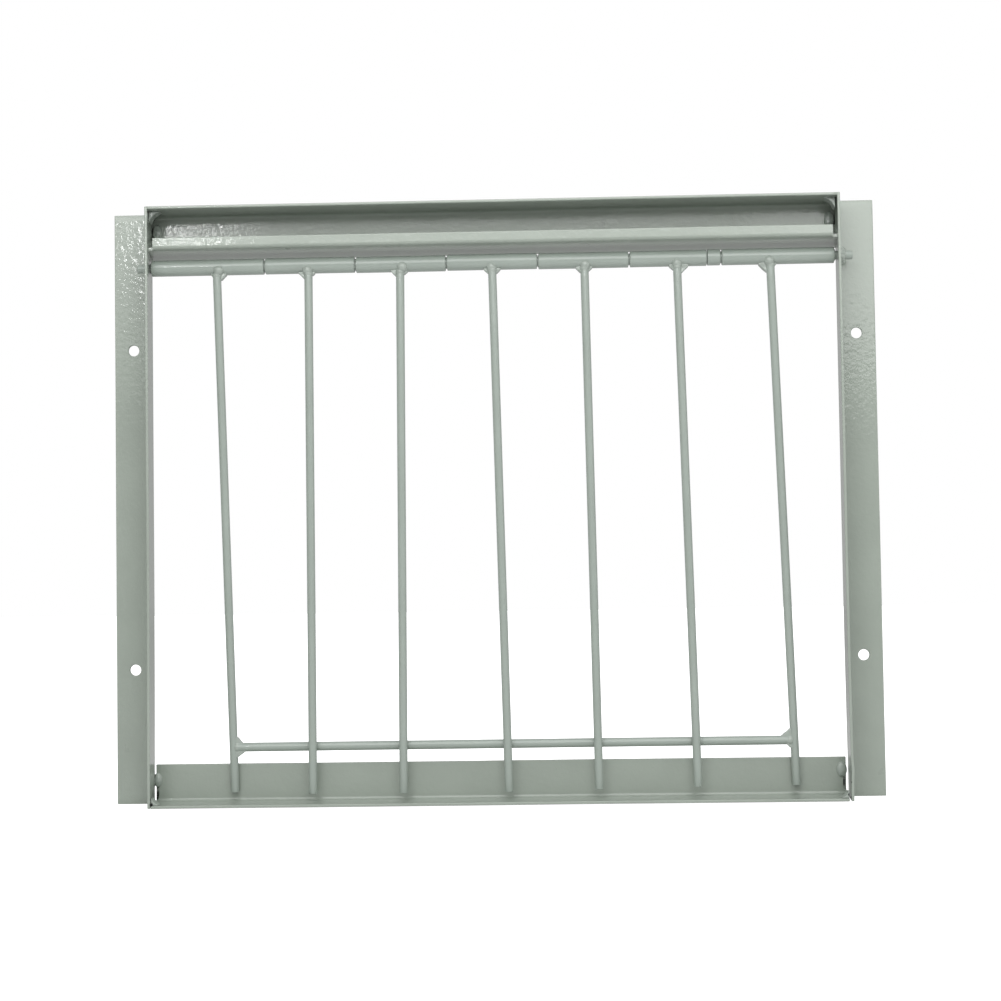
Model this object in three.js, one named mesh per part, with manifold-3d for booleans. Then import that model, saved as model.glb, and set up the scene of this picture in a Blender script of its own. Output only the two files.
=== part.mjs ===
// A drop-bar gate for a pigeon loft: a painted sheet-steel frame, a hinge rod across its top,
// and seven round bars hung from short tubes on that rod.
//
// Millimetres. X runs along the rod, Y from the bird side (front) to the wall (back), Z up.
// The origin is the middle of the bottom of the frame's outer box.
//
// Bars 1 and 7 and the crossbar between their feet are welded into one swinging gate, which rests
// on the bottom rail's upright plate. Bars 2 to 6 swing one by one and rest on the crossbar.

import * as THREE from 'three';
import { mergeVertices } from 'three/addons/utils/BufferGeometryUtils.js';
import Module from 'manifold-3d';

const wasm = await Module();
wasm.setup();

// ---- driving dimensions ----------------------------------------------------------------------

// frame
const FRAME_WIDTH = 300; // over the front edges of the side rails
const FRAME_HEIGHT = 260;
const FRAME_DEPTH = 20;
const OVERALL_WIDTH = 335; // over the side rails' flanges
const SHEET = 1.2;
const BEND_RADIUS = 1.3; // inside a bend
const TIGHT_BEND_RADIUS = 0.15; // inside the two bends of the top rail's lower leg
const SPLAY = 1.5; // how much further out each side rail's leg stands at the back than at the front
const TOP_RAIL_HEIGHT = 21;
const LOWER_LEG_RISE = 2.2; // how much higher the top rail's lower leg stands at the front
const TOP_LIP_HEIGHT = 4.9; // lip turned up along the front of that leg
const LOWER_LEG_SHORTER = 2; // clearance from that leg's ends to the side rails' front edges
const STOP_PLATE_HEIGHT = 17.2;
const RAIL_END_GAP = 0.7; // between a rail's end and the side rail it is welded to

// screw holes in the flanges, and the rod's holes in the legs
const SCREW_HOLE = 4.8;
const SCREW_HOLE_X = 159.2;
const SCREW_HOLE_Z = { left: [58.5, 199.5], right: [61, 201.5] };
const ROD_HOLE = 4.4;

// hinge rod and the tubes on it
const ROD_Y = 0;
const ROD_Z = 234.3;
const ROD_DIAMETER = 3.8;
const ROD_END_X = { left: -155.2, right: 156.8 };
const TUBE_DIAMETER = 7;
const TUBE_BORE = 4.6;
const TUBE_PITCH = 39.8;
const TUBE_ROW_X = 0.4; // middle of the row of tubes
const TUBE_GAP = 0.7;
const OUTER_TUBE_END_X = 148.8;
const TUBE_CHAMFER = 0.35;
const COLLAR_LENGTH = 5.6; // loose spacer at the right end of tube 6

// bars, numbered from the left
const BAR_COUNT = 7;
const BAR_PITCH = 40.15;
const BAR_ROW_X = 0.5; // middle of the row of bars, at the top
const BAR_DIAMETER = 3.6;
const BAR_FORWARD = 1.8; // how far in front of the rod the bars are welded
const BAR_LEAN_DEG = [1.2, -0.2, -0.4, 1, 0.7, 1.3, 2]; // sideways, foot to the right
const BAR_FOOT_Z = [4.8, 4.2, 4.1, 4.1, 4.8, 5.4, 5.3];
const BAR_CHAMFER = 0.25;
const CROSSBAR_DIAMETER = 3.9;
const CROSSBAR_Z = 25;

// welds
const BEAD_DIAMETER = 4.4; // the drop of weld at the top of each bar
const BEAD_BELOW_ROD = 2.1;
const BEAD_FORWARD = 2.8;
const FILLET_REACH = 4; // the cone of weld at each end of the crossbar
const FILLET_RADIUS = 3.9;
const CORNER_WELD = {
  along: { top: 5, bottom: 3.4 },
  up: { top: 5, bottom: 3.4 },
  inset: { top: 5, bottom: 1.2 },
  deep: 6,
};
const EDGE_WELD = { across: 3.6, tall: 7, proud: 2.4, middleZ: { top: 251.4, bottom: 12 } };
const ROD_WELD = { radius: 3.4, length: 2.6 };

// gap that keeps welded neighbours apart
const WELD_GAP = 0.3;

const ROUND_SIDES = 24;
const BEND_STEPS = 5;

// ---- places worked out from them ---------------------------------------------------------------

const frontY = -FRAME_DEPTH / 2;
const backY = FRAME_DEPTH / 2;
const plateFrontY = backY - SHEET;
const barRadius = BAR_DIAMETER / 2;
const tubeRadius = TUBE_DIAMETER / 2;
const crossbarRadius = CROSSBAR_DIAMETER / 2;
const barTopZ = ROD_Z - tubeRadius - WELD_GAP;
const barTopY = ROD_Y - BAR_FORWARD;

// the gate's bars lean back until their feet rest on the stop plate
const gateFootY = plateFrontY - barRadius - WELD_GAP;
const gateFootZ = Math.min(BAR_FOOT_Z[0], BAR_FOOT_Z[BAR_COUNT - 1]);
const gateLean = (gateFootY - barTopY) / (barTopZ - gateFootZ);
const crossbarY = barTopY + gateLean * (barTopZ - CROSSBAR_Z);

// the bars between them lean back until they rest on the crossbar
const innerBarY = crossbarY - crossbarRadius - barRadius - WELD_GAP;
const innerLean = (innerBarY - barTopY) / (barTopZ - CROSSBAR_Z);

// ---- small tools -------------------------------------------------------------------------------

const PAINT = { color: 0x98a499, roughness: 0.38, metalness: 0.05 };
const TUBE_PAINT = { color: 0x9ca89e, roughness: 0.34, metalness: 0.05 };
const BAR_PAINT = { color: 0x93a092, roughness: 0.4, metalness: 0.05 };
const WELD_PAINT = { color: 0xa3aea5, roughness: 0.3, metalness: 0.05 };

function named(name, geometry, look) {
  const mesh = new THREE.Mesh(geometry, new THREE.MeshStandardMaterial(look));
  mesh.name = name;
  return mesh;
}

function closed(geometry) {
  const bare = geometry.clone();
  bare.deleteAttribute('normal');
  bare.deleteAttribute('uv');
  return mergeVertices(bare, 1e-5);
}

function toSolid(geometry) {
  const merged = closed(geometry);
  return new wasm.Manifold(new wasm.Mesh({
    numProp: 3,
    vertProperties: new Float32Array(merged.attributes.position.array),
    triVerts: new Uint32Array(merged.index.array),
  }));
}

function toGeometry(solid) {
  const { vertProperties, triVerts } = solid.getMesh();
  const geometry = new THREE.BufferGeometry();
  geometry.setAttribute('position', new THREE.BufferAttribute(vertProperties, 3));
  geometry.setIndex(new THREE.BufferAttribute(triVerts, 1));
  geometry.computeVertexNormals();
  return geometry;
}

function cut(geometry, ...tools) {
  return toGeometry(tools.reduce((left, tool) => left.subtract(toSolid(tool)), toSolid(geometry)));
}

// a round bar from one point to another, with a small chamfer at both ends
function roundBar(from, to, radius, chamfer = 0) {
  const length = from.distanceTo(to);
  const profile = [
    new THREE.Vector2(0, 0),
    new THREE.Vector2(radius - chamfer, 0),
    new THREE.Vector2(radius, chamfer),
    new THREE.Vector2(radius, length - chamfer),
    new THREE.Vector2(radius - chamfer, length),
    new THREE.Vector2(0, length),
  ];
  const outline = chamfer > 0 ? profile : [profile[0], profile[2], profile[3], profile[5]];
  const direction = to.clone().sub(from).normalize();
  const turn = new THREE.Quaternion().setFromUnitVectors(new THREE.Vector3(0, 1, 0), direction);
  return new THREE.LatheGeometry(outline, ROUND_SIDES)
    .applyQuaternion(turn)
    .translate(from.x, from.y, from.z);
}

// a ring around the X axis, whose profile lists [x, radius] corners
function ringAlongX(corners) {
  const profile = corners.map(([x, radius]) => new THREE.Vector2(radius, x));
  if (THREE.ShapeUtils.isClockWise(profile)) profile.reverse();
  profile.push(profile[0].clone());
  const turn = new THREE.Quaternion().setFromUnitVectors(
    new THREE.Vector3(0, 1, 0), new THREE.Vector3(1, 0, 0));
  return new THREE.LatheGeometry(profile, ROUND_SIDES).applyQuaternion(turn);
}

// the section of a folded sheet, whose middle line runs straight from corner to corner;
// the corners listed as tight have the smaller bend
function foldedSheet(corners, tight = []) {
  const left = (direction) => new THREE.Vector2(-direction.y, direction.x);
  const heading = (i) => corners[i + 1].clone().sub(corners[i]).normalize();
  const last = corners.length - 1;

  const middle = [[corners[0], left(heading(0))]];
  for (let i = 1; i < last; i += 1) {
    const before = heading(i - 1);
    const after = heading(i);
    const turn = Math.atan2(before.cross(after), before.dot(after));
    const inside = tight.includes(i) ? TIGHT_BEND_RADIUS : BEND_RADIUS;
    const radius = Math.sign(turn) * (inside + SHEET / 2);
    const centre = corners[i].clone()
      .addScaledVector(before, -radius * Math.tan(turn / 2))
      .addScaledVector(left(before), radius);
    for (let step = 0; step <= BEND_STEPS; step += 1) {
      const normal = left(before).rotateAround(new THREE.Vector2(), turn * step / BEND_STEPS);
      middle.push([centre.clone().addScaledVector(normal, -radius), normal]);
    }
  }
  middle.push([corners[last], left(heading(last - 1))]);

  const oneFace = middle.map(([point, normal]) => point.clone().addScaledVector(normal, SHEET / 2));
  const otherFace = middle.map(([point, normal]) => point.clone().addScaledVector(normal, -SHEET / 2));
  return new THREE.Shape([...oneFace, ...otherFace.reverse()]);
}

function extruded(shape, depth) {
  return new THREE.ExtrudeGeometry(shape, { depth, bevelEnabled: false, steps: 1 });
}

// lays a section drawn in (Y, Z) along X
function alongX(geometry) {
  const basis = new THREE.Matrix4().makeBasis(
    new THREE.Vector3(0, 1, 0), new THREE.Vector3(0, 0, 1), new THREE.Vector3(1, 0, 0));
  return geometry.applyMatrix4(basis);
}

// distance from the middle of the frame to the inner face of a side rail's leg, at depth y
function legInnerX(y) {
  return FRAME_WIDTH / 2 - SHEET + SPLAY * (y - frontY) / FRAME_DEPTH;
}

function barTopX(number) {
  return BAR_ROW_X + (number - (BAR_COUNT + 1) / 2) * BAR_PITCH;
}

function isGateBar(number) {
  return number === 1 || number === BAR_COUNT;
}

// a point on the middle line of a bar, at height z
function barPoint(number, z) {
  const drop = barTopZ - z;
  const sideways = Math.tan(THREE.MathUtils.degToRad(BAR_LEAN_DEG[number - 1]));
  const back = isGateBar(number) ? gateLean : innerLean;
  return new THREE.Vector3(barTopX(number) + sideways * drop, barTopY + back * drop, z);
}

// ---- frame -------------------------------------------------------------------------------------

// an angle whose leg comes forward and whose flange turns outward at the back
function sideRail(side) {
  const outward = side === 'left' ? -1 : 1;
  const legX = FRAME_WIDTH / 2 - SHEET / 2;
  const section = foldedSheet([
    new THREE.Vector2(outward * legX, frontY),
    new THREE.Vector2(outward * (legX + SPLAY), backY - SHEET / 2),
    new THREE.Vector2(outward * OVERALL_WIDTH / 2, backY - SHEET / 2)]);
  const screwHoles = SCREW_HOLE_Z[side].map((z) => roundBar(
    new THREE.Vector3(outward * SCREW_HOLE_X, 0, z),
    new THREE.Vector3(outward * SCREW_HOLE_X, FRAME_DEPTH, z),
    SCREW_HOLE / 2));
  const rodHole = roundBar(
    new THREE.Vector3(outward * (legX - FRAME_DEPTH / 2), ROD_Y, ROD_Z),
    new THREE.Vector3(outward * (legX + FRAME_DEPTH / 2), ROD_Y, ROD_Z),
    ROD_HOLE / 2);
  const rail = cut(extruded(section, FRAME_HEIGHT), ...screwHoles, rodHole);
  return named(`${side}_side_rail`, rail, PAINT);
}

// a rail between the side rails, whose ends follow the splay of their legs
function crossRail(section) {
  const geometry = alongX(extruded(section, FRAME_WIDTH).translate(0, 0, -FRAME_WIDTH / 2));
  const position = geometry.attributes.position;
  for (let i = 0; i < position.count; i += 1) {
    const halfLength = legInnerX(position.getY(i)) - RAIL_END_GAP;
    position.setX(i, Math.sign(position.getX(i)) * halfLength);
  }
  return closed(geometry);
}

// a channel open to the front, with a lip turned up along the front of its lower leg;
// the lip and the lower leg stop short of the side rails
function topRail() {
  const webY = backY - SHEET / 2;
  const upperZ = FRAME_HEIGHT - SHEET / 2;
  const lowerZ = FRAME_HEIGHT - TOP_RAIL_HEIGHT + SHEET / 2;
  const lipY = frontY + SHEET / 2;
  const lipTopZ = lowerZ - SHEET / 2 + LOWER_LEG_RISE + TOP_LIP_HEIGHT;
  const section = foldedSheet([
    new THREE.Vector2(frontY, upperZ),
    new THREE.Vector2(webY, upperZ),
    new THREE.Vector2(webY, lowerZ),
    new THREE.Vector2(lipY, lowerZ + LOWER_LEG_RISE),
    new THREE.Vector2(lipY, lipTopZ)], [2, 3]);
  const room = 2 * FRAME_DEPTH;
  const cutBacks = [-1, 1].map((outward) => new THREE.BoxGeometry(room, room, room)
    .translate(outward * (legInnerX(frontY) - LOWER_LEG_SHORTER + room / 2), 0, lipTopZ + 0.5 - room / 2));
  return named('top_rail', cut(crossRail(section), ...cutBacks), PAINT);
}

function bottomRail() {
  const section = foldedSheet([
    new THREE.Vector2(frontY, SHEET / 2),
    new THREE.Vector2(backY - SHEET / 2, SHEET / 2),
    new THREE.Vector2(backY - SHEET / 2, STOP_PLATE_HEIGHT)]);
  return named('bottom_rail', crossRail(section), PAINT);
}

// a fillet of weld between a side rail's leg and the flat leg of the top or bottom rail
function cornerWeld(side, level) {
  const outward = side === 'left' ? -1 : 1;
  const inward = level === 'top' ? -1 : 1;
  const { deep } = CORNER_WELD;
  const along = CORNER_WELD.along[level];
  const up = CORNER_WELD.up[level];
  const shape = new THREE.Shape();
  shape.moveTo(0, 0);
  shape.lineTo(-outward * along, 0);
  shape.quadraticCurveTo(-outward * along * 0.3, inward * up * 0.3, 0, inward * up);
  const flatZ = level === 'top' ? FRAME_HEIGHT - SHEET - WELD_GAP : SHEET + WELD_GAP;
  const startY = frontY + CORNER_WELD.inset[level];
  const weld = extruded(shape, deep)
    .rotateX(Math.PI / 2)
    .translate(outward * (legInnerX(startY) - WELD_GAP), startY + deep, flatZ);
  return named(`corner_weld_${level}_${side}`, closed(weld), WELD_PAINT);
}

// the blob of weld that bridges the gap between a plate's end and the side rail's leg
function edgeWeld(side, level) {
  const outward = side === 'left' ? -1 : 1;
  const { across, tall, proud } = EDGE_WELD;
  const middleZ = EDGE_WELD.middleZ[level];
  const plateY = plateFrontY - WELD_GAP;
  const legX = legInnerX(plateY - proud) - WELD_GAP;
  const blob = new THREE.SphereGeometry(1, 16, 12)
    .scale(across * 0.65, proud, tall / 2)
    .translate(outward * (legX - across * 0.45), plateY, middleZ);
  const room = 4 * tall;
  const plateSide = new THREE.BoxGeometry(room, room, room)
    .translate(outward * legX, plateY + room / 2, middleZ);
  const legSide = new THREE.BoxGeometry(room, room, room)
    .translate(outward * (legX + room / 2), plateY, middleZ);
  return named(`edge_weld_${level}_${side}`, cut(blob, plateSide, legSide), WELD_PAINT);
}

// ---- hinge rod and tubes -----------------------------------------------------------------------

function hingeRod() {
  const rod = roundBar(
    new THREE.Vector3(ROD_END_X.left, ROD_Y, ROD_Z),
    new THREE.Vector3(ROD_END_X.right, ROD_Y, ROD_Z),
    ROD_DIAMETER / 2, BAR_CHAMFER);
  return named('hinge_rod', closed(rod), BAR_PAINT);
}

// the ring of weld that holds the rod's right end to the outside of its leg
function rodWeld() {
  const start = legInnerX(ROD_Y + ROD_WELD.radius) + SHEET + WELD_GAP;
  const bore = ROD_DIAMETER / 2 + WELD_GAP;
  const ring = ringAlongX([
    [start, bore],
    [start, ROD_WELD.radius],
    [start + ROD_WELD.length / 2, ROD_WELD.radius * 0.9],
    [start + ROD_WELD.length, bore + WELD_GAP],
    [start + ROD_WELD.length, bore],
  ]).translate(0, ROD_Y, ROD_Z);
  return named('rod_weld', closed(ring), WELD_PAINT);
}

function ringOnRod(name, startX, endX) {
  const bore = TUBE_BORE / 2;
  const ring = ringAlongX([
    [startX, bore],
    [startX, tubeRadius - TUBE_CHAMFER],
    [startX + TUBE_CHAMFER, tubeRadius],
    [endX - TUBE_CHAMFER, tubeRadius],
    [endX, tubeRadius - TUBE_CHAMFER],
    [endX, bore],
  ]).translate(0, ROD_Y, ROD_Z);
  return named(name, closed(ring), TUBE_PAINT);
}

// left and right ends of the space that a bar's tube fills on the rod
function tubeSpan(number) {
  const middle = TUBE_ROW_X + (number - (BAR_COUNT + 1) / 2) * TUBE_PITCH;
  const half = (TUBE_PITCH - TUBE_GAP) / 2;
  const startX = number === 1 ? -OUTER_TUBE_END_X : middle - half;
  const endX = number === BAR_COUNT ? OUTER_TUBE_END_X : middle + half;
  return [startX, endX];
}

function hingeTube(number) {
  const [startX, endX] = tubeSpan(number);
  const shorter = number === BAR_COUNT - 1 ? COLLAR_LENGTH + WELD_GAP : 0;
  return ringOnRod(`hinge_tube_${number}`, startX, endX - shorter);
}

function spacerCollar() {
  const endX = tubeSpan(BAR_COUNT - 1)[1];
  return ringOnRod('spacer_collar', endX - COLLAR_LENGTH, endX);
}

// ---- bars --------------------------------------------------------------------------------------

function dropBar(number) {
  const bar = roundBar(
    barPoint(number, barTopZ), barPoint(number, BAR_FOOT_Z[number - 1]), barRadius, BAR_CHAMFER);
  return named(`drop_bar_${number}`, closed(bar), BAR_PAINT);
}

// the drop of weld in front of the joint between a bar and its tube
function barWeld(number) {
  const top = barPoint(number, barTopZ);
  const drop = new THREE.SphereGeometry(BEAD_DIAMETER / 2, 16, 12)
    .translate(top.x, ROD_Y - BEAD_FORWARD, ROD_Z - BEAD_BELOW_ROD);
  const tube = roundBar(
    new THREE.Vector3(top.x - TUBE_DIAMETER, ROD_Y, ROD_Z),
    new THREE.Vector3(top.x + TUBE_DIAMETER, ROD_Y, ROD_Z),
    tubeRadius + WELD_GAP);
  const bar = roundBar(
    barPoint(number, barTopZ + WELD_GAP), barPoint(number, barTopZ - 2 * BEAD_DIAMETER),
    barRadius + WELD_GAP);
  return named(`bar_weld_${number}`, cut(drop, tube, bar), WELD_PAINT);
}

// ends of the crossbar, against the inner sides of bars 1 and 7
function crossbarEndX(side) {
  const number = side === 'left' ? 1 : BAR_COUNT;
  const inward = side === 'left' ? 1 : -1;
  return barPoint(number, CROSSBAR_Z).x + inward * (barRadius + WELD_GAP);
}

function crossbar() {
  const bar = roundBar(
    new THREE.Vector3(crossbarEndX('left'), crossbarY, CROSSBAR_Z),
    new THREE.Vector3(crossbarEndX('right'), crossbarY, CROSSBAR_Z),
    crossbarRadius);
  return named('crossbar', closed(bar), BAR_PAINT);
}

function crossbarWeld(side) {
  const inward = side === 'left' ? 1 : -1;
  const bore = crossbarRadius + WELD_GAP;
  const start = crossbarEndX(side) + inward * WELD_GAP;
  const ring = ringAlongX([
    [start, bore],
    [start, FILLET_RADIUS],
    [start + inward * FILLET_REACH * 0.4, (FILLET_RADIUS + bore) / 2],
    [start + inward * FILLET_REACH, bore + WELD_GAP],
    [start + inward * FILLET_REACH, bore],
  ]).translate(0, crossbarY, CROSSBAR_Z);
  return named(`crossbar_weld_${side}`, closed(ring), WELD_PAINT);
}

// ---- assembly ----------------------------------------------------------------------------------

const frame = new THREE.Group();
for (const side of ['left', 'right']) {
  frame.add(sideRail(side));
  for (const level of ['top', 'bottom']) {
    frame.add(cornerWeld(side, level));
    frame.add(edgeWeld(side, level));
  }
}
frame.add(topRail(), bottomRail(), hingeRod(), rodWeld());

const outerGate = new THREE.Group();
const innerBars = new THREE.Group();
for (let number = 1; number <= BAR_COUNT; number += 1) {
  const home = isGateBar(number) ? outerGate : innerBars;
  home.add(hingeTube(number), dropBar(number), barWeld(number));
}
innerBars.add(spacerCollar());
outerGate.add(crossbar(), crossbarWeld('left'), crossbarWeld('right'));

const dropBarGate = new THREE.Group();
dropBarGate.add(frame, outerGate, innerBars);

export default dropBarGate;
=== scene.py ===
"""A drop-bar gate for a pigeon loft, seen from the side that the bars swing towards.

A shallow frame of painted sheet steel carries a hinge rod. Seven round bars hang from tubes on the rod.
Bars 1 and 7 are welded to a crossbar and swing as one gate. Bars 2 to 6 rest on it and swing singly.
"""

import math
import random

import bmesh
import bpy
from mathutils import Matrix, Vector, noise


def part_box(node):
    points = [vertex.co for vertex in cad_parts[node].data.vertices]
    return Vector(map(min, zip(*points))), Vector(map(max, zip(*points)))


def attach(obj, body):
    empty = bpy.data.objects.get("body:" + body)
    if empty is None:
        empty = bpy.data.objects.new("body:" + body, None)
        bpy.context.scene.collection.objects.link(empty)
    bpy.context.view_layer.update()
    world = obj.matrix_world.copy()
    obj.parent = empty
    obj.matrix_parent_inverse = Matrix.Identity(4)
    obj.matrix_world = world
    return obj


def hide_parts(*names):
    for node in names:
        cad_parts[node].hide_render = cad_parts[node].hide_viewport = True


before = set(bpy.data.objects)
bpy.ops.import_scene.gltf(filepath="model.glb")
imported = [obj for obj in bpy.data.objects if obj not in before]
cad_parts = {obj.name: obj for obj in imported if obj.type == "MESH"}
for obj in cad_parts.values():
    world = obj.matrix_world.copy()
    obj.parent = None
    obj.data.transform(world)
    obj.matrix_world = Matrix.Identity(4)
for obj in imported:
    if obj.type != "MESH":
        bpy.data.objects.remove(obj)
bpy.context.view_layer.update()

MM = 0.001

# Sheet metal
SHEET = 1.2 * MM
BEND_RADIUS = 1.3 * MM  # inside a bend
TIGHT_BEND_RADIUS = 0.15 * MM  # inside the two bends of the top rail's lower leg
BEND_STEPS = 10
SHEARED_EDGE = 0.28 * MM  # rounding that the paint leaves on a cut edge
FLAT_HOLD = 0.25 * MM  # the flat faces keep their own shading up to this close to a bend
RAIL_STATION = 2.5 * MM  # spacing of the sections along a rail
TOP_RAIL_HEIGHT = 21.0 * MM
LOWER_LEG_RISE = 2.2 * MM  # how much higher the top rail's lower leg stands at the front
TOP_LIP_HEIGHT = 4.9 * MM
LIP_END = {-1: -146.5 * MM, 1: 147.2 * MM}  # the top rail's lip stops short of the side rails
LIP_CUT_DEPTH = 2.0 * MM  # how far behind the front the lip is cut away
LEG_SPLAY = 1.5 * MM
LEG_OUTWARD = {-1: (0.0, 0.3 * MM), 1: (0.55 * MM, 0.55 * MM)}  # how far front and back stand from drawn
TOP_RAIL_END_GAP = -0.8 * MM  # the top rail's ends are melted into the side rails
PLATE_END_GAP = -0.15 * MM  # from the stop plate's ends to the side rails, before their feet spread
FOOT_SPREAD = 0.3 * MM  # how much further out the side rails' feet stand
HAND_BENT = 0.1 * MM  # how far a hand-made rail wanders from straight
KNOCK_DEPTH = 0.3 * MM
KNOCK_HEIGHT = 13 * MM
KNOCK_SIZE = 4 * MM
HOLE_RIM = 0.25 * MM  # rounding of a screw hole's edge
HOLE_FROM_EDGE = (3 * MM, 13 * MM)  # the holes lie between these distances from a flange's outer edge
HOLE_FROM_END = 10 * MM  # and at least this far from its ends
ROD_HOLE_RADIUS = 2.2 * MM

# Round stock
ROUND_SIDES = 48
TUBE_BORE = 4.6 * MM
TUBE_CHAMFER = 0.35 * MM
TUBE_STEP = 0.3 * MM  # a narrower step at each tube end narrows the gap, so that the gap looks dark
TUBE_STEP_BELOW = 0.9 * MM  # the step is this far under the tube's surface
BAR_RADIUS = 1.8 * MM
BAR_CHAMFER = 0.35 * MM
CROSSBAR_OVERRUN = 0.4 * MM  # how far each end of the crossbar reaches into a gate bar's weld
INTO_TUBE = 0.8 * MM  # how far a bar's top reaches into its tube
TUBE_SAG = 0.16 * MM  # the tubes hang a little unevenly on the rod

# Welds
WELD_VOXEL = 0.16 * MM
WELD_LUMP = 0.14 * MM  # height of the ripples on a weld
DROP_RADIUS = 2.2 * MM  # the drop of weld in front of each tube
FLARE_DEPTH = 3.0 * MM  # the weld that spreads under the tube on both sides of a bar
FILLET_OVERLAP = 0.35 * MM  # how far a corner weld reaches past its CAD solid, into what it joins
FILLET_FULLNESS = 0.55  # 0 gives the hollowest corner weld, 2 a flat one
# The drop of weld on each tube: its place sideways of the bar and below the rod's middle, then how far
# the weld spreads along the tube to the left and to the right of the bar (mm).
BEADS = {
    1: (0.8, 1.7, 0.3, 1.8),
    2: (-0.5, 2.3, 2.0, 0.5),
    3: (1.0, 1.6, 1.6, 0.9),
    4: (-0.3, 2.5, 1.3, 1.3),
    5: (0.2, 2.3, 1.6, 1.1),
    6: (0.0, 2.3, 1.2, 2.6),
    7: (-0.5, 2.0, 2.9, 0.3),
}
# Reach of the weld between a gate bar and the crossbar, along the crossbar and along the bar (mm).
CROSSBAR_FILLETS = {
    "left": {1: (1.7, 2.0), -1: (3.0, 2.0)},
    "right": {1: (3.5, 2.6), -1: (1.0, 0.9)},
}

# The oval blobs between a rail's end and a side rail: distance in from the leg, distance below the drawn
# middle, half width and half height (mm).
EDGE_BLOBS = {
    ("top", "left"): (1.3, 0.0, 2.3, 4.1),
    ("top", "right"): (1.3, 0.0, 2.3, 4.1),
    ("bottom", "left"): (0.1, 1.6, 2.0, 3.2),
    ("bottom", "right"): (1.2, 0.3, 2.3, 3.4),
}
CROSSBAR_LOWER = {-1: 0.5 * MM, 1: 0.2 * MM}  # how far each end of the crossbar is below its drawn place

BAR_NUMBERS = range(1, 8)
GATE_BARS = (1, 7)

# Studio
CAMERA_PLACE = (0.0282, -0.810, 0.0935)
CAMERA_TURN_DEG = (-1.81, 2.59, -0.84)  # yaw, pitch and roll
CAMERA_SENSOR = 36
CAMERA_LENS = 67.25
FLOOR_GREY = 0.85
FLOOR_DROP = 0.5 * MM  # the floor lies just under the gate
FILL = 0.46  # strength of the white all round, as light

rng = random.Random(7)


# ---- places from the frame ---------------------------------------------------------------------

LEFT_LOW, LEFT_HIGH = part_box("left_side_rail")
RIGHT_LOW, RIGHT_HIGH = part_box("right_side_rail")
TOP_LOW, TOP_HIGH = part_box("top_rail")
BOTTOM_LOW, BOTTOM_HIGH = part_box("bottom_rail")
ROD_LOW, ROD_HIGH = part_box("hinge_rod")
CROSSBAR_LOW, CROSSBAR_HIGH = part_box("crossbar")

FRONT_Y = TOP_LOW.y
BACK_Y = TOP_HIGH.y
PLATE_FRONT_Y = BACK_Y - SHEET
ROD_CENTRE = (ROD_LOW + ROD_HIGH) / 2
ROD_RADIUS = (ROD_HIGH.z - ROD_LOW.z) / 2
CROSSBAR_CENTRE = (CROSSBAR_LOW + CROSSBAR_HIGH) / 2
CROSSBAR_RADIUS = (CROSSBAR_HIGH.z - CROSSBAR_LOW.z) / 2


def body_of_bar(number):
    return "outer_gate" if number in GATE_BARS else f"inner_bar_{number}"


def ring_centre(node, at_top):
    """Middle of the top or bottom face of a CAD node."""
    heights = [v.co.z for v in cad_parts[node].data.vertices]
    end = max(heights) if at_top else min(heights)
    face = [v.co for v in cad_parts[node].data.vertices if abs(v.co.z - end) < 0.4 * MM]
    return sum(face, Vector()) / len(face)


def bar_axis(number):
    """Top and foot of a bar's middle line."""
    node = f"drop_bar_{number}"
    return ring_centre(node, True), ring_centre(node, False)


def bar_point(number, z):
    top, foot = bar_axis(number)
    return foot.lerp(top, (z - foot.z) / (top.z - foot.z))


TUBE_RADIUS = (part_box("hinge_tube_1")[1].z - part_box("hinge_tube_1")[0].z) / 2


# ---- mesh tools --------------------------------------------------------------------------------


def new_piece(name, bm, body, material, node, sharp_deg=40):
    """Turns a bmesh into a piece that rides on a body and stands for a CAD node."""
    bmesh.ops.recalc_face_normals(bm, faces=bm.faces)
    mesh = bpy.data.meshes.new(name)
    bm.to_mesh(mesh)
    bm.free()
    mesh.shade_smooth()
    mesh.set_sharp_from_angle(angle=math.radians(sharp_deg))
    mesh.materials.append(material)
    piece = bpy.data.objects.new(name, mesh)
    bpy.context.scene.collection.objects.link(piece)
    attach(piece, body)
    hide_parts(node)
    return piece


def loft(rings, closed_ends=True):
    """Joins rings of points, all of the same count, into a skin with flat ends."""
    bm = bmesh.new()
    rows = [[bm.verts.new(point) for point in ring] for ring in rings]
    count = len(rows[0])
    for low, high in zip(rows, rows[1:]):
        for i in range(count):
            j = (i + 1) % count
            bm.faces.new((low[i], low[j], high[j], high[i]))
    if closed_ends:
        bm.faces.new(rows[0][::-1])
        bm.faces.new(rows[-1])
    return bm


def baked(obj):
    """The object's mesh with its modifiers applied, as a bmesh. The object itself is removed."""
    depsgraph = bpy.context.evaluated_depsgraph_get()
    mesh = bpy.data.meshes.new_from_object(obj.evaluated_get(depsgraph))
    bm = bmesh.new()
    bm.from_mesh(mesh)
    bpy.data.meshes.remove(mesh)
    bpy.data.objects.remove(obj)
    return bm


def scratch_object(bm):
    mesh = bpy.data.meshes.new("scratch")
    bm.to_mesh(mesh)
    bm.free()
    obj = bpy.data.objects.new("scratch", mesh)
    bpy.context.scene.collection.objects.link(obj)
    return obj


def drilled(bm, cutters):
    """Cuts each cutter out of a closed skin."""
    bmesh.ops.recalc_face_normals(bm, faces=bm.faces)
    target = scratch_object(bm)
    tools = []
    for cutter in cutters:
        bmesh.ops.recalc_face_normals(cutter, faces=cutter.faces)
        tool = scratch_object(cutter)
        tools.append(tool)
        cut = target.modifiers.new("cut", "BOOLEAN")
        cut.operation = "DIFFERENCE"
        cut.solver = "EXACT"
        cut.object = tool
    result = baked(target)
    for tool in tools:
        bpy.data.objects.remove(tool)
    return result


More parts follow.
